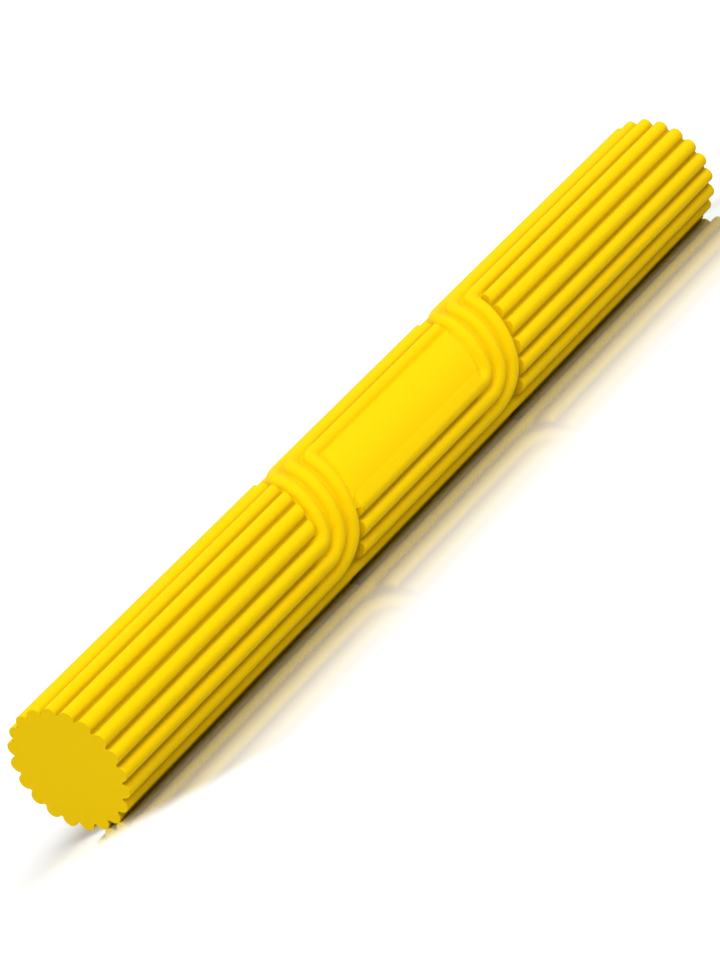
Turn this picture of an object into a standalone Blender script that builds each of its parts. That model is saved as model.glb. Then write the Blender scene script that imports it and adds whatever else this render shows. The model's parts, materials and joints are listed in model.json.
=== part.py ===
"""Flexible resistance bar: a solid, ribbed rubber moulding, straight at rest.

The bar lies along X and rests on two rib crests, so its lowest points are at Z = 0.
The slanted ribs would reach a little lower there, so they are flat underneath.
It is divided across its length into stretches, from the middle one outwards. Two
neighbours meet at a flat cut, where they either bend about Y or twist about X, and
all the cuts together let the bar bend into a U and be wrung like a cloth.

Places round the bar are given by the lap angle, which is 0 on top and grows towards
the front (-Y). The sweeps, where three ribs leave the grip, cross the bar on a slant
and join it again six ribs further round, are laid out on the unrolled surface: x runs
along the bar and v round it, against the lap angle.
"""
import math

import bmesh
import bpy

# Driving dimensions, in metres and degrees
LENGTH = 0.305
OUTER_RADIUS = 0.01765
RIB_COUNT = 20
RIB_RADIUS = 0.00213
GROOVE_RADIUS = 0.01585
UNROLLED_RADIUS = 0.01644
END_ROUNDING = 0.0002

STRETCH_LENGTH = 0.0104
JOINTS_PER_SIDE = 12
CUT_GAP = 0.0003

PANEL_LAP_ANGLE = 63.0
PATTERN_SHIFT = -0.00145
SWEEP_SPACING = 0.0833
SWEEP_SLANT = 22.8
SLANTED_PITCH = 0.0057
CORNER_RADIUS = 0.0044
SWEPT_RIBS = 3
RIB_END_GAP = 0.0003
RIB_END_SLOPE = 0.0005

PANEL_RADIUS = 0.0168
PANEL_LEAN = 0.0002
PANEL_EDGE_DROP = 0.0007
PANEL_EDGE_WIDTH = 0.0015
APRON_WIDTH = 0.0008
APRON_SLOPE = 0.19

# Fineness of the mesh
POINTS_PER_RIB = 4
STEPS_PER_SWEEP_STRETCH = 10

# Look of the rubber
RUBBER_COLOUR = (0.96, 0.64, 0.0022, 1.0)
RUBBER_ROUGHNESS = 0.5

# Sizes that follow from the driving dimensions
RIB_ANGLE = 2 * math.pi / RIB_COUNT
RIB_CENTRE_RADIUS = OUTER_RADIUS - RIB_RADIUS
AXIS_HEIGHT = OUTER_RADIUS * math.cos(RIB_ANGLE / 2)
PITCH = UNROLLED_RADIUS * RIB_ANGLE
HALF_TURN = RIB_COUNT / 2 * PITCH
SWEEP_RISE = SWEPT_RIBS * PITCH
RIB_END_PLACE = SLANTED_PITCH + PITCH / 2 + RIB_END_GAP
PANEL_HALF_WIDTH = 1.5 * PITCH
SWEEP_REACH = 0.0150


def rib_radius_at(offset):
    """Outer radius of the bar at a distance, round the bar, from a rib's middle line."""
    turn = min(abs(offset) / UNROLLED_RADIUS, RIB_ANGLE / 2)
    rise = RIB_RADIUS ** 2 - (RIB_CENTRE_RADIUS * math.sin(turn)) ** 2
    rib_top = RIB_CENTRE_RADIUS * math.cos(turn) + math.sqrt(max(rise, 0.0))
    return max(rib_top, GROOVE_RADIUS)


def offset_in_pitch(distance):
    """Distance to the nearest of a family of lines one pitch apart."""
    return distance - PITCH * round(distance / PITCH)


def slant_distance(x, v):
    """Signed distance to the sweep's straight middle line, positive towards -X."""
    slant = math.radians(SWEEP_SLANT)
    return v * math.sin(slant) - x * math.cos(slant)


def swept_rib_distance(rib, x, v):
    """Signed distance to the middle line of a sweep's rib, which is -1, 0 or 1.

    The line comes along the bar, crosses on the slant and leaves along the bar, with
    two rounded bends. A sweep is the same turned end for end, so only its lower bend
    is worked out.
    """
    if v > 0:
        return -swept_rib_distance(-rib, -x, -v)
    slant = math.radians(SWEEP_SLANT)
    lane = rib * PITCH - SWEEP_RISE
    offset = rib * SLANTED_PITCH
    bend_radius = CORNER_RADIUS + (1 - rib) * PITCH
    centre_v = lane + bend_radius
    centre_x = (centre_v * math.sin(slant) - bend_radius - offset) / math.cos(slant)
    away_x = x - centre_x
    away_v = v - centre_v
    if away_x > 0 and away_x * math.sin(slant) + away_v * math.cos(slant) < 0:
        return bend_radius - math.hypot(away_x, away_v)
    return min(v - lane, slant_distance(x, v) - offset)


def wall_radius_at(distance_from_end):
    """Radius of the steep wall that ends the straight ribs beside a sweep."""
    share = min(max(distance_from_end / RIB_END_SLOPE, 0.0), 1.0)
    return GROOVE_RADIUS + (OUTER_RADIUS - GROOVE_RADIUS) * share


def panel_radius_at(v, distance_inside):
    """Radius of the smooth panel, which leans a little and drops towards its edges."""
    share = min(max(distance_inside / PANEL_EDGE_WIDTH, 0.0), 1.0)
    lean = PANEL_LEAN * v / PANEL_HALF_WIDTH
    return PANEL_RADIUS - lean - PANEL_EDGE_DROP * (1 - share) ** 2


def apron_radius_at(v, distance_inside):
    """Radius of the slope that leads from the panel's lower half to the rib below it."""
    below = max(APRON_WIDTH - PANEL_HALF_WIDTH - v, 0.0)
    return panel_radius_at(v, distance_inside) + APRON_SLOPE * below


def surface_radius(x, lap_angle):
    """Radius of the bar's surface at a place along it and round it."""
    v = (math.radians(PANEL_LAP_ANGLE) - lap_angle) * UNROLLED_RADIUS
    v = (v + HALF_TURN / 2) % HALF_TURN - HALF_TURN / 2
    if abs(v) > 4.5 * PITCH:
        return rib_radius_at(offset_in_pitch(v))

    side = -1 if x < PATTERN_SHIFT else 1
    local_x = x - PATTERN_SHIFT - side * SWEEP_SPACING / 2
    lower, middle, upper = [swept_rib_distance(rib, local_x, v) for rib in (-1, 0, 1)]
    radius = max(rib_radius_at(lower), rib_radius_at(middle), rib_radius_at(upper))
    above = upper - PITCH / 2
    below = -lower - PITCH / 2
    towards_middle = above if side > 0 else below
    beside_panel = towards_middle > 0 and abs(v) < PANEL_HALF_WIDTH
    from_sweep = abs(slant_distance(local_x, v)) - RIB_END_PLACE
    if max(above, below) > 0 and not beside_panel:
        wall = wall_radius_at(min(from_sweep, max(above, below)))
        radius = max(radius, min(rib_radius_at(offset_in_pitch(v)), wall))

    inside = min(PANEL_HALF_WIDTH - abs(v), towards_middle)
    if inside > -PITCH / 2:
        radius = max(radius, panel_radius_at(v, inside))
        if v < 0:
            apron = apron_radius_at(v, from_sweep)
            if v < -PANEL_HALF_WIDTH:
                apron = min(apron, wall_radius_at(from_sweep))
            radius = max(radius, apron)
    return radius


def make_rubber():
    """Yellow, slightly glossy rubber."""
    material = bpy.data.materials.new("yellow_rubber")
    material.use_nodes = True
    shader = material.node_tree.nodes["Principled BSDF"]
    shader.inputs["Base Color"].default_value = RUBBER_COLOUR
    shader.inputs["Roughness"].default_value = RUBBER_ROUGHNESS
    shader.inputs["Metallic"].default_value = 0.0
    return material


def add_ring(bm, x, origin_x, inset):
    """Closed ring of points on the bar's surface at x, drawn in by inset."""
    segments = RIB_COUNT * POINTS_PER_RIB
    ring = bmesh.ops.create_circle(bm, segments=segments, radius=OUTER_RADIUS)["verts"]
    for index, vertex in enumerate(ring):
        lap_angle = index * RIB_ANGLE / POINTS_PER_RIB
        radius = surface_radius(x, lap_angle) - inset
        vertex.co.x = x - origin_x
        vertex.co.y = -radius * math.sin(lap_angle)
        vertex.co.z = max(radius * math.cos(lap_angle), -AXIS_HEIGHT)
    return list({edge for vertex in ring for edge in vertex.link_edges})


def make_stretch(name, stations, origin_x, material):
    """Solid slice of the bar through stations of (x, inset), with flat ends."""
    mesh = bpy.data.meshes.new(name)
    bm = bmesh.new()
    rings = [add_ring(bm, x, origin_x, inset) for x, inset in stations]
    for ring, next_ring in zip(rings, rings[1:]):
        bmesh.ops.bridge_loops(bm, edges=ring + next_ring)
    for end_ring in (rings[0], rings[-1]):
        bmesh.ops.edgeloop_fill(bm, edges=end_ring)
    bmesh.ops.recalc_face_normals(bm, faces=bm.faces)
    bm.to_mesh(mesh)
    bm.free()
    mesh.materials.append(material)
    mesh.shade_smooth()
    mesh.set_sharp_from_angle(angle=math.radians(40))
    stretch = bpy.data.objects.new(name, mesh)
    bpy.context.scene.collection.objects.link(stretch)
    return stretch


def zone_name(middle_x):
    """Name of the part of the bar that a stretch belongs to."""
    from_sweep = abs(abs(middle_x - PATTERN_SHIFT) - SWEEP_SPACING / 2)
    if from_sweep < SWEEP_REACH:
        return "sweep"
    return "panel" if abs(middle_x) < SWEEP_SPACING / 2 else "grip"


def stations_between(start, end, zone):
    """Places of a stretch's rings, closer together where the ribs sweep across."""
    steps = STEPS_PER_SWEEP_STRETCH if zone == "sweep" else 1
    low = start + CUT_GAP / 2
    high = end - CUT_GAP / 2
    return [(low + (high - low) * step / steps, 0.0) for step in range(steps + 1)]


def end_stations(start):
    """Rings of the outermost stretch, whose free end has a rounded edge."""
    half = LENGTH / 2
    rounding = [(half - END_ROUNDING, 0.0), (half, END_ROUNDING)]
    return [(start + CUT_GAP / 2, 0.0)] + rounding


def build_side(side, side_name, middle, material):
    """Stretches from the middle one to one end, each carried by the one before."""
    counts = {}
    carrier = middle
    carrier_x = 0.0
    for number in range(1, JOINTS_PER_SIDE + 1):
        joint_x = (number - 0.5) * STRETCH_LENGTH
        if number == JOINTS_PER_SIDE:
            name = side_name + "_grip_end"
            stations = end_stations(joint_x)
        else:
            zone = zone_name(joint_x + STRETCH_LENGTH / 2)
            counts[zone] = counts.get(zone, 0) + 1
            name = f"{side_name}_{zone}_{counts[zone]}"
            stations = stations_between(joint_x, joint_x + STRETCH_LENGTH, zone)
        stations = [(side * x, inset) for x, inset in stations]
        stretch = make_stretch(name, stations, side * joint_x, material)
        stretch.parent = carrier
        stretch.location.x = side * joint_x - carrier_x
        carrier = stretch
        carrier_x = side * joint_x


def main():
    for old in list(bpy.data.objects):
        bpy.data.objects.remove(old, do_unlink=True)
    rubber = make_rubber()
    half = STRETCH_LENGTH / 2
    middle = make_stretch("panel_middle", stations_between(-half, half, "panel"), 0.0, rubber)
    middle.location.z = AXIS_HEIGHT
    build_side(-1, "left", middle, rubber)
    build_side(1, "right", middle, rubber)
    bpy.context.view_layer.update()


main()
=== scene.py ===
"""Flexible resistance bar: its ribbed rubber surface, its finish, and the stage round it.

The bar lies along X. Places round it are given by the lap angle, which is 0 on top and
grows towards the front (-Y). The rubber is modelled in short lengths, one over each
place where the bar gives.
"""
import json
import math

import bmesh
import bpy
from bpy.props import FloatProperty, FloatVectorProperty, IntProperty, PointerProperty
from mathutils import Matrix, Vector

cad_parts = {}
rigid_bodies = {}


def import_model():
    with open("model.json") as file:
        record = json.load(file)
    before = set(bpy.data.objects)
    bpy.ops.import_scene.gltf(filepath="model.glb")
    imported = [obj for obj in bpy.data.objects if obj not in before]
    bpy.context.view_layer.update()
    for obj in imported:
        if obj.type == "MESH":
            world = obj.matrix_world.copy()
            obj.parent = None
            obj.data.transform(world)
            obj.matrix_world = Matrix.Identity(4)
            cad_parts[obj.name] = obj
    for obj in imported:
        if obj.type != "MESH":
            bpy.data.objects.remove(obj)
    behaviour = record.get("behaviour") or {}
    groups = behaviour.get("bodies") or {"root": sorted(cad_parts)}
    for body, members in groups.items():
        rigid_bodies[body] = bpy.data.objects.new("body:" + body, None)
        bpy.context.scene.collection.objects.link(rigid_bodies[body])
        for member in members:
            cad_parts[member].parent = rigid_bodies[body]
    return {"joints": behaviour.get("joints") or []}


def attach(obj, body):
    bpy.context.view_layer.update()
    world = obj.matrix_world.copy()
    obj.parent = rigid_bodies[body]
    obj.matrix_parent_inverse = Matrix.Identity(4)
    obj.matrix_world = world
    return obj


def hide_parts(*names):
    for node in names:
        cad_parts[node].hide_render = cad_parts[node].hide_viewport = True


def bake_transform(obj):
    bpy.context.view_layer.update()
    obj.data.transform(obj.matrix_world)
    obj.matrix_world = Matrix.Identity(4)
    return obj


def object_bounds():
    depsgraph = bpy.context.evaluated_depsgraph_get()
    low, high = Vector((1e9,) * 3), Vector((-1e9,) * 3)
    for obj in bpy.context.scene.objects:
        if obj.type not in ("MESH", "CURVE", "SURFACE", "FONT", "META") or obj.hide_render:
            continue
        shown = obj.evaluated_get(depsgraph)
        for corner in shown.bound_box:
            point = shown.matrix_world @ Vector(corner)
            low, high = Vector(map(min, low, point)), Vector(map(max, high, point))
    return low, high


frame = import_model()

bl_info = {
    "name": "Flexible resistance bar",
    "version": (1, 0, 0),
    "blender": (4, 5, 0),
    "location": "3D View > Sidebar > Resistance bar",
    "description": "Models a ribbed rubber bar for bending and twisting with both hands",
    "category": "Object",
}

CAD_LOW, CAD_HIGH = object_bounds()
JOINTS = frame["joints"]

BAR_HALF_LENGTH = CAD_HIGH.x
AXIS_HEIGHT = JOINTS[0]["pos_m"][2]
RIB_COUNT = 20
RIB_ANGLE = 2 * math.pi / RIB_COUNT
SWEPT_RIBS = 3
PANEL_RIBS = 3
PATTERN_RIBS = 9

# Per-point share of painted shade: darkening painted into the rubber's colour in the grooves, on
# the rib ends' walls and on the end faces, where shade falls
PAINTED_SHADE_ATTRIBUTE = "painted_groove_shade"

# Rows of points: the second and the last but one are close to the ends of a length, and
# the last full step keeps this many steps of room before them
SEAM_ROW = 0.00005
ROOM_ROUND_SWEEP = 0.0140
ROOM_FOR_LAST_ROW = 1.5

# How far a rib's end wall rises, where 1 is the top of a rib
WALL_OVERRUN = 1.4


class BarSizes(bpy.types.PropertyGroup):
    """Sizes of the bar's ribs, sweeps and panels."""

    crest_radius: FloatProperty(
        name="Crest radius", description="From the bar's axis to the top of a rib",
        default=0.01765, precision=5, unit="LENGTH")
    rib_radius: FloatProperty(
        name="Rib radius", description="Radius of a rib's round top",
        default=0.00213, precision=5, unit="LENGTH")
    unrolled_radius: FloatProperty(
        name="Unrolled radius", description="Radius at which the ribs' spacings are laid out",
        default=0.01644, precision=5, unit="LENGTH")
    groove_floor: FloatProperty(
        name="Groove floor", description="From the bar's axis to the bottom of a groove",
        default=0.01585, precision=5, unit="LENGTH")
    groove_softness: FloatProperty(
        name="Groove softness", description="How far a groove's bottom is rounded",
        default=0.0003, precision=5, unit="LENGTH")
    pattern_shift: FloatProperty(
        name="Pattern shift", description="From the bar's middle to the middle of its panels",
        default=-0.00145, precision=5, unit="LENGTH")
    sweep_spacing: FloatProperty(
        name="Sweep spacing", description="Distance along the bar between its two sweeps",
        default=0.0833, precision=4, unit="LENGTH")
    sweep_slant: FloatProperty(
        name="Sweep slant", description="Slant of the sweeps across the bar",
        default=math.radians(22.8), subtype="ANGLE")
    slanted_pitch: FloatProperty(
        name="Slanted pitch", description="Distance between two neighbouring slanted ribs",
        default=0.0057, precision=5, unit="LENGTH")
    corner_radius: FloatProperty(
        name="Corner radius", description="Radius of the innermost rib of a sweep in its bend",
        default=0.0044, precision=5, unit="LENGTH")
    rib_end_gap: FloatProperty(
        name="Rib end gap", description="Distance from a cut-off rib to the slanted rib",
        default=0.0003, precision=5, unit="LENGTH")
    rib_end_slope: FloatProperty(
        name="Rib end slope", description="How far along a cut-off rib its end wall rises",
        default=0.00045, precision=5, unit="LENGTH")
    rib_end_softness: FloatProperty(
        name="Rib end softness", description="How far the edge of a rib's end is rounded",
        default=0.00030, precision=5, unit="LENGTH")
    panel_lap_angle: FloatProperty(
        name="Panel lap angle", description="Place of the front panel's middle round the bar",
        default=math.radians(63.0), subtype="ANGLE")
    panel_radius: FloatProperty(
        name="Panel radius", description="From the bar's axis to the middle of the smooth panel",
        default=0.01680, precision=5, unit="LENGTH")
    panel_lean: FloatProperty(
        name="Panel lean", description="How far the panel's lower edge stands higher, at half",
        default=0.00020, precision=5, unit="LENGTH")
    panel_edge_drop: FloatProperty(
        name="Panel edge drop", description="How far the panel falls away at its edges",
        default=0.00070, precision=5, unit="LENGTH")
    panel_edge_width: FloatProperty(
        name="Panel edge width", description="Width of the band where the panel falls away",
        default=0.0015, precision=5, unit="LENGTH")
    apron_width: FloatProperty(
        name="Apron width", description="How far the slope below the panel reaches into it",
        default=0.0008, precision=5, unit="LENGTH")
    apron_slope: FloatProperty(
        name="Apron slope", description="Rise of the slope from the panel to the rib below it",
        default=0.19)
    mould_line_depth: FloatProperty(
        name="Mould line depth", description="Depth of the faint line along the panel",
        default=0.00004, precision=5, unit="LENGTH")
    mould_line_place: FloatProperty(
        name="Mould line place", description="From the panel's middle to between its two lines",
        default=-0.00135, precision=5, unit="LENGTH")
    mould_line_spread: FloatProperty(
        name="Mould line spread", description="Half the distance between the two lines",
        default=0.00715, precision=5, unit="LENGTH")
    mould_line_width: FloatProperty(
        name="Mould line width", description="Half the width of each line",
        default=0.00022, precision=5, unit="LENGTH")
    # Painted shade: how fast the dark colour painted into the grooves fades from their floor up
    # the ribs' sides
    painted_shade_falloff: FloatProperty(
        name="Shade falloff", description="How fast a groove's dark colour fades above its floor",
        default=2.5, min=0.1)
    # Painted shade in the slanted grooves and round the panel, as a share of the straight
    # grooves' painted shade, growing to full over the fade distance
    slanted_painted_shade: FloatProperty(
        name="Slanted shade", description="How dark the wide, slanted grooves are, at most",
        default=0.25, min=0.0, max=1.0)
    painted_shade_fade: FloatProperty(
        name="Shade fade", description="Distance over which the slanted grooves turn darker",
        default=0.004, precision=4, unit="LENGTH")
    # Painted shade on the steep walls at the cut-off ribs' ends, which face the slanted ribs
    rib_end_painted_shade: FloatProperty(
        name="Rib end shade", description="How dark the walls at the ends of the ribs are",
        default=0.45, min=0.0, max=1.0)
    # Painted shade on the cut end faces, none by default
    end_face_painted_shade: FloatProperty(
        name="End shade", description="How dark the cut end faces are",
        default=0.0, min=0.0, max=1.0)
    end_rounding: FloatProperty(
        name="End rounding", description="Radius of the edge round each end face",
        default=0.00008, precision=5, unit="LENGTH")
    points_per_rib: IntProperty(
        name="Points per rib", description="Points across each rib", default=32, min=4)
    fine_row: FloatProperty(
        name="Fine row", description="Distance between rows of points across a sweep",
        default=0.00016, precision=5, unit="LENGTH")
    plain_row: FloatProperty(
        name="Plain row", description="Distance between rows of points elsewhere",
        default=0.0010, precision=5, unit="LENGTH")


class RubberFinish(bpy.types.PropertyGroup):
    """Colour and surface of the rubber."""

    colour: FloatVectorProperty(
        name="Colour", description="Colour of the rubber", subtype="COLOR", size=4,
        min=0.0, max=1.0, default=(0.96, 0.64, 0.0022, 1.0))
    # Painted shade: dark colour mixed into the rubber at the bottom of the grooves and on the rib
    # ends' walls, standing in for the shade that falls there
    painted_shade_colour: FloatVectorProperty(
        name="Deep colour", description="Colour at the bottom of the grooves",
        subtype="COLOR", size=4, min=0.0, max=1.0, default=(0.565, 0.355, 0.0016, 1.0))
    mottle_scale: FloatProperty(
        name="Mottle scale", description="How fine the rubber's mottling is", default=900.0)
    handling_scale: FloatProperty(
        name="Handling scale", description="How fine the changes in roughness are", default=120.0)
    roughness_spread: FloatProperty(
        name="Roughness spread", description="How far the roughness varies", default=0.06)
    mottle: FloatProperty(
        name="Mottle", description="Strength of the rubber's faint mottling", default=0.06)
    roughness: FloatProperty(
        name="Roughness", description="Middle roughness of the rubber", default=0.55)
    gloss: FloatProperty(
        name="Gloss", description="Strength of the light that the surface throws back",
        default=0.06)
    sheen_colour: FloatVectorProperty(
        name="Sheen colour", description="Colour of the light that the surface throws back",
        subtype="COLOR", size=4, min=0.0, max=1.0, default=(1.0, 0.82, 0.03, 1.0))
    grain_size: FloatProperty(
        name="Grain size", description="Size of the grain left by the mould",
        default=0.00040, precision=5, unit="LENGTH")
    grain_height: FloatProperty(
        name="Grain height", description="Height of the grain left by the mould",
        default=0.000012, precision=6, unit="LENGTH")


class StageSettings(bpy.types.PropertyGroup):
    """Floor, light and camera."""

    floor_colour: FloatVectorProperty(
        name="Floor colour", description="Colour of the floor", subtype="COLOR", size=4,
        min=0.0, max=1.0, default=(0.95, 0.95, 0.95, 1.0))
    floor_bounce: FloatVectorProperty(
        name="Floor bounce", description="Colour of the floor as it lights the bar",
        subtype="COLOR", size=4, min=0.0, max=1.0, default=(0.55, 0.55, 0.55, 1.0))
    mirror_glance: FloatProperty(
        name="Mirror glance", description="How fast the mirror image gains at a flat angle",
        default=0.6, min=0.0, max=0.99)
    mirror_colour: FloatVectorProperty(
        name="Mirror colour", description="Colour of the floor's mirror image",
        subtype="COLOR", size=4, min=0.0, max=1.0, default=(0.92, 1.0, 0.96, 1.0))
    mirror_reach: FloatProperty(
        name="Mirror reach", description="Distance in front of the bar where the image ends",
        default=0.10, unit="LENGTH")
    mirror_end_reach: FloatProperty(
        name="Mirror end reach", description="Distance past the bar's ends where the image ends",
        default=0.015, unit="LENGTH")
    floor_roughness: FloatProperty(
        name="Floor roughness", description="Roughness of the floor", default=0.07)
    room_light: FloatProperty(
        name="Room light", description="Strength of the light from all round", default=0.02)
    lamp_light: FloatProperty(
        name="Lamp light", description="Strength of the large lamps, all together", default=0.97)
    lamp_spread: FloatProperty(
        name="Lamp spread", description="How wide each lamp looks from the bar",
        default=math.radians(60), subtype="ANGLE")
    lens: FloatProperty(
        name="Lens", description="Focal length of the camera in millimetres", default=179.0)
    camera_place: FloatVectorProperty(
        name="Camera place", description="Where the camera stands", subtype="TRANSLATION",
        default=(-0.8733, -0.8836, 0.1836))
    camera_aim: FloatVectorProperty(
        name="Camera aim", description="Point in the middle of the picture",
        subtype="TRANSLATION", default=(-0.01976, -0.00429, 0.01743))
    camera_roll: FloatProperty(
        name="Camera roll", description="How far the camera is tilted to the right",
        default=math.radians(37.84), subtype="ANGLE")


def soft_min(a, b, softness):
    """The lower of two heights, with the corner between them rounded off."""
    blend = max(softness - abs(a - b), 0.0) / softness
    return min(a, b) - blend * blend * softness / 4


def soft_max(a, b, softness):
    """The higher of two heights, with the corner between them filled in."""
    return -soft_min(-a, -b, softness)


def fade(distance, width):
    """Smooth rise from 0 at no distance to 1 at a width."""
    share = min(max(distance / width, 0.0), 1.0)
    return share * share * (3 - 2 * share)


class BarSurface:
    """How far the rubber's surface is from the bar's axis, at any place on it."""

    def __init__(self, sizes):
        self.crest = sizes.crest_radius
        self.rib = sizes.rib_radius
        self.rib_centre = sizes.crest_radius - sizes.rib_radius
        self.floor = sizes.groove_floor
        self.softness = sizes.groove_softness
        self.unrolled = sizes.unrolled_radius
        self.pitch = self.unrolled * RIB_ANGLE
        self.half_pitch = self.pitch / 2
        self.shift = sizes.pattern_shift
        self.sweep_x = sizes.sweep_spacing / 2
        self.sin = math.sin(sizes.sweep_slant)
        self.cos = math.cos(sizes.sweep_slant)
        self.slanted_pitch = sizes.slanted_pitch
        self.rise = SWEPT_RIBS * self.pitch
        self.corner = sizes.corner_radius
        self.end_place = self.slanted_pitch + self.half_pitch + sizes.rib_end_gap
        self.end_slope = sizes.rib_end_slope
        self.end_softness = sizes.rib_end_softness
        self.panel_lap = sizes.panel_lap_angle
        self.panel = sizes.panel_radius
        self.panel_lean = sizes.panel_lean
        self.panel_half = PANEL_RIBS / 2 * self.pitch
        self.pattern_half = PATTERN_RIBS / 2 * self.pitch
        self.edge_drop = sizes.panel_edge_drop
        self.edge_width = sizes.panel_edge_width
        self.apron_width = sizes.apron_width
        self.apron_slope = sizes.apron_slope
        self.line_depth = sizes.mould_line_depth
        self.line_place = sizes.mould_line_place
        self.line_spread = sizes.mould_line_spread
        self.line_width = sizes.mould_line_width
        self.painted_shade_falloff = sizes.painted_shade_falloff
        self.slanted_painted_shade = sizes.slanted_painted_shade
        self.painted_shade_fade = sizes.painted_shade_fade
        self.rib_end_painted_shade = sizes.rib_end_painted_shade

    def rib_height(self, offset):
        """Round top of a rib, at a distance from its middle line, down to the floor."""
        turn = min(abs(offset) / self.unrolled, RIB_ANGLE / 2)
        rise = self.rib ** 2 - (self.rib_centre * math.sin(turn)) ** 2
        if rise < 0:
            return self.floor
        height = self.rib_centre * math.cos(turn) + math.sqrt(rise)
        return soft_max(height, self.floor, self.softness)

    def nearest_rib_height(self, distance):
        """Height of a family of ribs one pitch apart."""
        return self.rib_height(distance - self.pitch * round(distance / self.pitch))

    def slant_distance(self, x, v):
        """Distance to a sweep's straight middle line, positive towards -X."""
        return v * self.sin - x * self.cos

    def swept_rib_distance(self, rib, x, v):
        """Distance to the middle line of a sweep's rib, which is -1, 0 or 1.

        The line comes along the bar, crosses on the slant and leaves along the bar. A
        sweep is the same turned end for end, so only its lower bend is worked out.
        """
        if v > 0:
            return -self.swept_rib_distance(-rib, -x, -v)
        lane = rib * self.pitch - self.rise
        offset = rib * self.slanted_pitch
        bend = self.corner + (1 - rib) * self.pitch
        centre_v = lane + bend
        centre_x = (centre_v * self.sin - bend - offset) / self.cos
        away_x = x - centre_x
        away_v = v - centre_v
        if away_x > 0 and away_x * self.sin + away_v * self.cos < 0:
            return bend - math.hypot(away_x, away_v)
        return min(v - lane, self.slant_distance(x, v) - offset)

    def wall_height(self, from_end):
        """The steep wall that ends the straight ribs beside a sweep."""
        share = min(max(from_end / self.end_slope, 0.0), WALL_OVERRUN)
        return self.floor + (self.crest - self.floor) * share

    def panel_height(self, v, inside):
        """The smooth panel, at a distance inside its border."""
        share = min(max(inside / self.edge_width, 0.0), 1.0)
        lean = self.panel_lean * v / self.panel_half
        return self.panel - lean - self.edge_drop * (1 - share) ** 2

    def apron_height(self, v, inside):
        """The slope that leads from the panel's lower half to the rib below it."""
        below = max(self.apron_width - self.panel_half - v, 0.0)
        return self.panel_height(v, inside) + self.apron_slope * below

    def mould_line(self, v):
        """Depth of the faint line that runs above and below the panel's middle."""
        away = abs(v - self.line_place) - self.line_spread
        return self.line_depth * math.exp(-(away / self.line_width) ** 2)

    def shade(self, height, top):
        """How much painted shade a groove gets, from 0 at its top to 1 on its floor."""
        depth = (top - height) / (top - self.floor)
        return min(max(depth, 0.0), 1.0) ** self.painted_shade_falloff

    def place(self, x, lap_angle):
        """Distance of the surface from the axis, and its groove's painted shade, at a place."""
        half_turn = math.pi * self.unrolled
        v = (self.panel_lap - lap_angle) * self.unrolled
        v = (v + half_turn / 2) % half_turn - half_turn / 2
        if abs(v) > self.pattern_half:
            height = self.nearest_rib_height(v)
            return height, self.shade(height, self.crest)
        side = -1 if x < self.shift else 1
        local_x = x - self.shift - side * self.sweep_x
        distances = [self.swept_rib_distance(rib, local_x, v) for rib in (-1, 0, 1)]
        height = max(self.rib_height(distance) for distance in distances)
        towards_middle = (distances[2] if side > 0 else -distances[0]) - self.half_pitch
        towards_end = (-distances[0] if side > 0 else distances[2]) - self.half_pitch
        beside_panel = towards_middle > 0 and abs(v) < self.panel_half
        beyond = max(towards_middle, towards_end)
        from_sweep = abs(self.slant_distance(local_x, v)) - self.end_place
        if beyond > 0 and not beside_panel:
            wall = self.wall_height(min(from_sweep, beyond))
            ended_rib = soft_min(self.nearest_rib_height(v), wall, self.end_softness)
            height = max(height, ended_rib)
        inside = min(self.panel_half - abs(v), towards_middle)
        if inside < -self.half_pitch:
            shade = self.shade(height, self.crest)
            # Painted shade, weaker in the slanted grooves and growing to full away from the sweep
            if beyond < 0:
                darker = fade(from_sweep, self.painted_shade_fade)
                shade *= self.slanted_painted_shade + (1 - self.slanted_painted_shade) * darker
            # Painted shade on the cut-off ribs' end walls, at least this dark
            elif height < self.crest and from_sweep < self.end_slope:
                shade = max(shade, self.rib_end_painted_shade)
            return height, shade
        height = soft_max(height, self.panel_height(v, inside), self.softness)
        if v < 0:
            apron = self.apron_height(v, from_sweep)
            if v < -self.panel_half:
                apron = soft_min(apron, self.wall_height(from_sweep), self.end_softness)
            height = max(height, apron)
        height -= self.mould_line(v)
        # Painted shade round the panel, weakened like the slanted grooves'
        return height, self.shade(height, self.panel) * self.slanted_painted_shade


def rows_between(start, end, sizes):
    """Places of the rows of points along a length of the bar, close together at a sweep."""
    rows = [start, start + SEAM_ROW]
    last = end - SEAM_ROW
    while True:
        x = rows[-1]
        from_sweep = abs(abs(x - sizes.pattern_shift) - sizes.sweep_spacing / 2)
        step = sizes.fine_row if from_sweep < ROOM_ROUND_SWEEP else sizes.plain_row
        if x + ROOM_FOR_LAST_ROW * step > last:
            break
        rows.append(x + step)
    return rows + [last, end]


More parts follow.
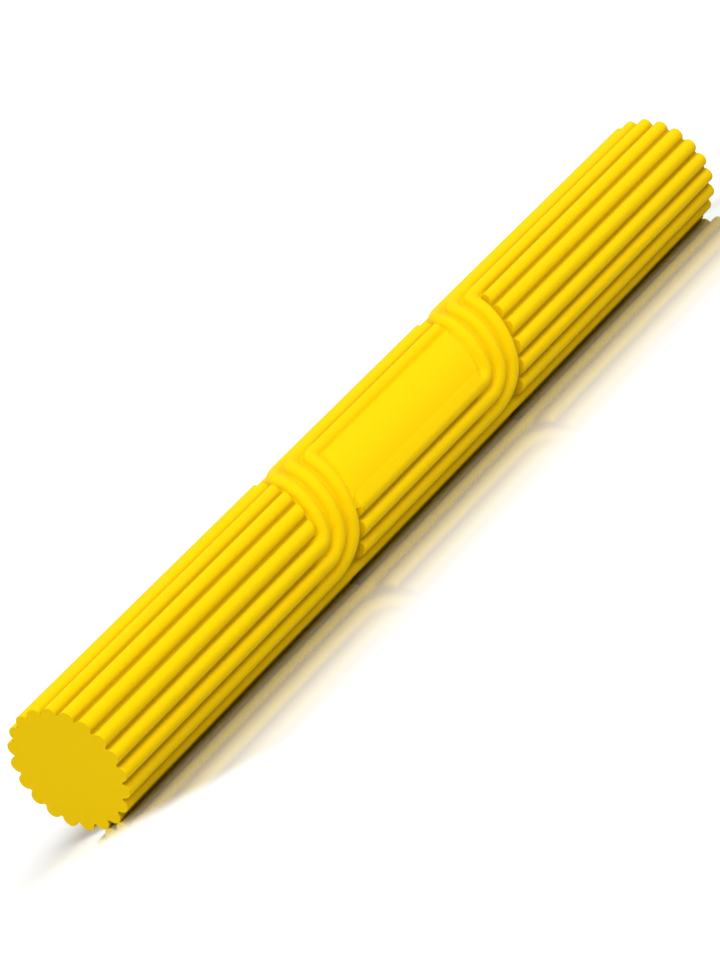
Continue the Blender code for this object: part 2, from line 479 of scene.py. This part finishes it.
def make_length(name, rows, insets, sizes, material):
    """Closed length of the bar with a row of points at each place, and flat ends."""
    surface = BarSurface(sizes)
    points = RIB_COUNT * sizes.points_per_rib
    bm = bmesh.new()
    groove = bm.verts.layers.float.new(PAINTED_SHADE_ATTRIBUTE)
    bmesh.ops.create_cone(bm, cap_ends=True, segments=points, radius1=sizes.crest_radius,
                          radius2=sizes.crest_radius, depth=1.0)
    sides = [edge for edge in bm.edges if abs(edge.verts[0].co.z - edge.verts[1].co.z) > 0.5]
    bmesh.ops.subdivide_edges(bm, edges=sides, cuts=len(rows) - 2, use_grid_fill=False)
    steps = len(rows) - 1
    for vertex in bm.verts:
        row = round((vertex.co.z + 0.5) * steps)
        place = round(math.atan2(vertex.co.x, vertex.co.y) / (2 * math.pi) * points)
        lap_angle = place * 2 * math.pi / points
        radius, shade = surface.place(rows[row], lap_angle)
        radius -= insets.get(row, 0.0)
        # Painted shade for this point: the end faces' painted shade on their rows, else the
        # grooves' and rib ends' painted shade
        vertex[groove] = sizes.end_face_painted_shade if row in insets else shade
        height = AXIS_HEIGHT + radius * math.cos(lap_angle)
        vertex.co = (rows[row], -radius * math.sin(lap_angle), max(height, 0.0))
    for face in bm.faces:
        face.smooth = len(face.verts) == 4
        if len(face.verts) > 4:
            for edge in face.edges:
                edge.smooth = False
    bmesh.ops.recalc_face_normals(bm, faces=bm.faces)
    mesh = bpy.data.meshes.new(name)
    bm.to_mesh(mesh)
    bm.free()
    mesh.materials.append(material)
    piece = bpy.data.objects.new(name, mesh)
    bpy.context.scene.collection.objects.link(piece)
    return piece


def make_rubber(finish):
    """Matt yellow rubber, with painted shade darkening its grooves, a faint mottle and the
    mould's grain.
    """
    material = bpy.data.materials.get("Yellow rubber")
    if material:
        return material
    material = bpy.data.materials.new("Yellow rubber")
    material.use_nodes = True
    nodes = material.node_tree.nodes
    links = material.node_tree.links
    shader = nodes["Principled BSDF"]
    shader.inputs["Specular IOR Level"].default_value = finish.gloss
    shader.inputs["Specular Tint"].default_value = finish.sheen_colour
    place = nodes.new("ShaderNodeTexCoord")

    # Painted shade: the rubber's colour is mixed towards the dark painted shade colour by the
    # per-point share
    groove = nodes.new("ShaderNodeAttribute")
    groove.attribute_name = PAINTED_SHADE_ATTRIBUTE
    painted_shade_mix = nodes.new("ShaderNodeMix")
    painted_shade_mix.data_type = "RGBA"
    painted_shade_mix.inputs["A"].default_value = finish.colour
    painted_shade_mix.inputs["B"].default_value = finish.painted_shade_colour
    links.new(groove.outputs["Fac"], painted_shade_mix.inputs["Factor"])

    mottle = nodes.new("ShaderNodeTexNoise")
    mottle.inputs["Scale"].default_value = finish.mottle_scale
    mottle.inputs["Detail"].default_value = 3.0
    links.new(place.outputs["Object"], mottle.inputs["Vector"])
    shade = nodes.new("ShaderNodeMapRange")
    shade.inputs["To Min"].default_value = 1.0 - finish.mottle
    shade.inputs["To Max"].default_value = 1.0
    links.new(mottle.outputs["Fac"], shade.inputs["Value"])
    tint = nodes.new("ShaderNodeMix")
    tint.data_type = "RGBA"
    tint.blend_type = "MULTIPLY"
    tint.inputs["Factor"].default_value = 1.0
    links.new(painted_shade_mix.outputs["Result"], tint.inputs["A"])
    links.new(shade.outputs["Result"], tint.inputs["B"])
    links.new(tint.outputs["Result"], shader.inputs["Base Color"])

    handling = nodes.new("ShaderNodeTexNoise")
    handling.inputs["Scale"].default_value = finish.handling_scale
    handling.inputs["Detail"].default_value = 4.0
    links.new(place.outputs["Object"], handling.inputs["Vector"])
    gloss = nodes.new("ShaderNodeMapRange")
    gloss.inputs["To Min"].default_value = finish.roughness - finish.roughness_spread
    gloss.inputs["To Max"].default_value = finish.roughness + finish.roughness_spread
    links.new(handling.outputs["Fac"], gloss.inputs["Value"])
    links.new(gloss.outputs["Result"], shader.inputs["Roughness"])

    grain = nodes.new("ShaderNodeTexNoise")
    grain.inputs["Scale"].default_value = 1 / finish.grain_size
    grain.inputs["Detail"].default_value = 2.0
    links.new(place.outputs["Object"], grain.inputs["Vector"])
    bump = nodes.new("ShaderNodeBump")
    bump.inputs["Distance"].default_value = finish.grain_height
    links.new(grain.outputs["Fac"], bump.inputs["Height"])
    links.new(bump.outputs["Normal"], shader.inputs["Normal"])
    return material


def half_stretch():
    """Half the distance between two neighbouring places where the bar gives."""
    places = sorted(joint["pos_m"][0] for joint in JOINTS)
    return (places[1] - places[0]) / 2


def cover_joints(context, word):
    """Rubber over each joint between two stretches whose outer one is named with a word."""
    sizes = context.scene.bar_sizes
    rubber = make_rubber(context.scene.rubber_finish)
    half = half_stretch()
    for joint in JOINTS:
        if word not in joint["child"]:
            continue
        pivot = joint["pos_m"][0]
        low = pivot - half
        high = pivot + half
        name = joint["child"] + "_rubber"
        piece = make_length(name, rows_between(low, high, sizes), {}, sizes, rubber)
        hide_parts(joint["parent"], joint["child"])
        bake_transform(piece)


class BAR_OT_middle(bpy.types.Operator):
    """Model the middle of the bar, with the ribs and the two smooth panels"""

    bl_idname = "bar.middle"
    bl_label = "Middle of the bar"

    def execute(self, context):
        cover_joints(context, "panel")
        return {"FINISHED"}


class BAR_OT_sweeps(bpy.types.Operator):
    """Model the two places where three ribs sweep across the bar on a slant"""

    bl_idname = "bar.sweeps"
    bl_label = "Sweeps"

    def execute(self, context):
        cover_joints(context, "sweep")
        return {"FINISHED"}


class BAR_OT_grips(bpy.types.Operator):
    """Model the ribbed grips, up to their last bend"""

    bl_idname = "bar.grips"
    bl_label = "Grips"

    def execute(self, context):
        cover_joints(context, "grip")
        return {"FINISHED"}


class BAR_OT_ends(bpy.types.Operator):
    """Model the two ends of the bar, with their flat faces and rounded edges"""

    bl_idname = "bar.ends"
    bl_label = "Ends"

    EDGE_ROWS = 5

    def execute(self, context):
        sizes = context.scene.bar_sizes
        rubber = make_rubber(context.scene.rubber_finish)
        carriers = {joint["parent"] for joint in JOINTS}
        for joint in JOINTS:
            if joint["child"] in carriers:
                continue
            pivot = joint["pos_m"][0]
            side = math.copysign(1.0, pivot)
            rounding = sizes.end_rounding
            start = abs(pivot) + half_stretch()
            rows = rows_between(start, BAR_HALF_LENGTH - rounding, sizes)
            insets = {}
            for step in range(1, self.EDGE_ROWS + 1):
                turn = math.pi / 2 * step / self.EDGE_ROWS
                insets[len(rows)] = rounding * (1 - math.cos(turn))
                rows.append(BAR_HALF_LENGTH - rounding + rounding * math.sin(turn))
            rows = [side * x for x in rows]
            piece = make_length(joint["child"] + "_tip", rows, insets, sizes, rubber)
            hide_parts(joint["child"])
            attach(piece, joint["child"])
        return {"FINISHED"}


class BAR_OT_stage(bpy.types.Operator):
    """Set up the pale floor, the light and the camera"""

    bl_idname = "bar.stage"
    bl_label = "Stage"

    FLOOR_SIZE = 30.0
    CAMERA_REACH = 100.0
    LAMPS = (
        ("high front lamp", (0.0, -0.42, 0.91), 0.90),
        ("front lamp", (0.0, -0.77, 0.64), 0.77),
        ("left front lamp", (-0.54, -0.54, 0.64), 1.24),
        ("right front lamp", (0.54, -0.54, 0.64), 1.01),
        ("left back lamp", (-0.54, 0.54, 0.64), 1.45),
    )

    def execute(self, context):
        stage = context.scene.bar_stage
        self.make_floor(stage)
        self.make_light(context, stage)
        self.make_camera(context, stage)
        context.scene.view_settings.view_transform = "Standard"
        return {"FINISHED"}

    def make_floor(self, stage):
        """Wide, pale floor, in which the camera sees a soft mirror image of the bar."""
        bm = bmesh.new()
        bmesh.ops.create_grid(bm, x_segments=1, y_segments=1, size=self.FLOOR_SIZE)
        mesh = bpy.data.meshes.new("floor")
        bm.to_mesh(mesh)
        bm.free()
        material = bpy.data.materials.new("Pale floor")
        material.use_nodes = True
        nodes = material.node_tree.nodes
        links = material.node_tree.links
        nodes.remove(nodes["Principled BSDF"])
        matt = nodes.new("ShaderNodeBsdfDiffuse")
        matt.inputs["Color"].default_value = stage.floor_colour
        mirror = nodes.new("ShaderNodeBsdfGlossy")
        mirror.inputs["Color"].default_value = stage.mirror_colour
        mirror.inputs["Roughness"].default_value = stage.floor_roughness
        shown = nodes.new("ShaderNodeMixShader")
        links.new(self.mirror_share(material.node_tree, stage), shown.inputs["Fac"])
        links.new(matt.outputs["BSDF"], shown.inputs[1])
        links.new(mirror.outputs["BSDF"], shown.inputs[2])
        thrown = nodes.new("ShaderNodeBsdfDiffuse")
        thrown.inputs["Color"].default_value = stage.floor_bounce
        surface = nodes.new("ShaderNodeMixShader")
        links.new(self.seen_ray(material.node_tree), surface.inputs["Fac"])
        links.new(thrown.outputs["BSDF"], surface.inputs[1])
        links.new(shown.outputs["Shader"], surface.inputs[2])
        links.new(surface.outputs["Shader"], nodes["Material Output"].inputs["Surface"])
        mesh.materials.append(material)
        floor = bpy.data.objects.new("floor", mesh)
        bpy.context.scene.collection.objects.link(floor)

    def mirror_share(self, tree, stage):
        """Strength of the floor's mirror image, which fades away from the bar."""
        place = tree.nodes.new("ShaderNodeTexCoord").outputs["Object"]
        to_end = 1 / stage.mirror_end_reach
        to_front = 1 / stage.mirror_reach
        forwards = self.vector_step(tree, "MULTIPLY", place, (to_end, -to_front, 0.0))
        backwards = self.vector_step(tree, "MULTIPLY", place, (-to_end, to_end, 0.0))
        share_of_reach = self.vector_step(tree, "MAXIMUM", forwards, backwards)
        past_end = self.vector_step(
            tree, "SUBTRACT", share_of_reach, (BAR_HALF_LENGTH * to_end, 0.0, 0.0))
        outside = self.vector_step(tree, "MAXIMUM", past_end, (0.0, 0.0, 0.0))
        away = tree.nodes.new("ShaderNodeVectorMath")
        away.operation = "LENGTH"
        tree.links.new(outside, away.inputs[0])
        fading = tree.nodes.new("ShaderNodeMapRange")
        fading.interpolation_type = "SMOOTHSTEP"
        fading.inputs["To Min"].default_value = 1.0
        fading.inputs["To Max"].default_value = 0.0
        tree.links.new(away.outputs["Value"], fading.inputs["Value"])
        glance = tree.nodes.new("ShaderNodeLayerWeight")
        glance.inputs["Blend"].default_value = stage.mirror_glance
        share = tree.nodes.new("ShaderNodeMath")
        share.operation = "MULTIPLY"
        tree.links.new(fading.outputs["Result"], share.inputs[0])
        tree.links.new(glance.outputs["Facing"], share.inputs[1])
        return share.outputs["Value"]

    def vector_step(self, tree, operation, vector, other):
        """Output of one step of arithmetic on a place, with a value or a second output."""
        step = tree.nodes.new("ShaderNodeVectorMath")
        step.operation = operation
        tree.links.new(vector, step.inputs[0])
        if isinstance(other, tuple):
            step.inputs[1].default_value = other
        else:
            tree.links.new(other, step.inputs[1])
        return step.outputs["Vector"]

    def seen_ray(self, tree):
        """Output that is 1 for a ray from the camera or off a glossy surface, else 0."""
        ray = tree.nodes.new("ShaderNodeLightPath")
        either = tree.nodes.new("ShaderNodeMath")
        either.operation = "MAXIMUM"
        tree.links.new(ray.outputs["Is Camera Ray"], either.inputs[0])
        tree.links.new(ray.outputs["Is Glossy Ray"], either.inputs[1])
        return either.outputs["Value"]

    def make_light(self, context, stage):
        """Even light from all round, white to the camera, and large lamps on each side."""
        world = bpy.data.worlds.new("Studio")
        world.use_nodes = True
        nodes = world.node_tree.nodes
        links = world.node_tree.links
        strength = nodes.new("ShaderNodeMapRange")
        strength.inputs["To Min"].default_value = stage.room_light
        links.new(self.seen_ray(world.node_tree), strength.inputs["Value"])
        background = nodes["Background"]
        background.inputs["Color"].default_value = (1.0, 1.0, 1.0, 1.0)
        links.new(strength.outputs["Result"], background.inputs["Strength"])
        context.scene.world = world
        for name, direction, share in self.LAMPS:
            lamp = bpy.data.lights.new(name, "SUN")
            lamp.energy = share * stage.lamp_light
            lamp.angle = stage.lamp_spread
            sun = bpy.data.objects.new(name, lamp)
            sun.rotation_euler = Vector(direction).to_track_quat("Z", "Y").to_euler()
            context.scene.collection.objects.link(sun)

    def make_camera(self, context, stage):
        """Long lens, tilted to the right, looking along the bar from its near end."""
        camera = bpy.data.cameras.new("camera")
        camera.lens = stage.lens
        camera.clip_end = self.CAMERA_REACH
        view = bpy.data.objects.new("camera", camera)
        place = Vector(stage.camera_place)
        view.location = place
        aim = Vector(stage.camera_aim) - place
        view.rotation_euler = aim.to_track_quat("-Z", "Y").to_euler()
        view.rotation_euler.rotate_axis("Z", -stage.camera_roll)
        context.scene.collection.objects.link(view)
        context.scene.camera = view


class BAR_PT_panel(bpy.types.Panel):
    """Sizes, finish and steps of the resistance bar"""

    bl_label = "Resistance bar"
    bl_idname = "BAR_PT_panel"
    bl_space_type = "VIEW_3D"
    bl_region_type = "UI"
    bl_category = "Resistance bar"

    def draw(self, context):
        scene = context.scene
        for group in (scene.bar_sizes, scene.rubber_finish, scene.bar_stage):
            box = self.layout.box()
            for name in group.__annotations__:
                box.prop(group, name)
        for operator in OPERATORS:
            self.layout.operator(operator.bl_idname)


GROUPS = (BarSizes, RubberFinish, StageSettings)
OPERATORS = (BAR_OT_middle, BAR_OT_sweeps, BAR_OT_grips, BAR_OT_ends, BAR_OT_stage)


def register():
    for cls in GROUPS + OPERATORS + (BAR_PT_panel,):
        bpy.utils.register_class(cls)
    bpy.types.Scene.bar_sizes = PointerProperty(type=BarSizes)
    bpy.types.Scene.rubber_finish = PointerProperty(type=RubberFinish)
    bpy.types.Scene.bar_stage = PointerProperty(type=StageSettings)


def unregister():
    del bpy.types.Scene.bar_stage
    del bpy.types.Scene.rubber_finish
    del bpy.types.Scene.bar_sizes
    for cls in reversed(GROUPS + OPERATORS + (BAR_PT_panel,)):
        bpy.utils.unregister_class(cls)


def main():
    register()
    bpy.ops.bar.middle()
    bpy.ops.bar.sweeps()
    bpy.ops.bar.grips()
    bpy.ops.bar.ends()
    bpy.ops.bar.stage()


if __name__ == "__main__":
    main()
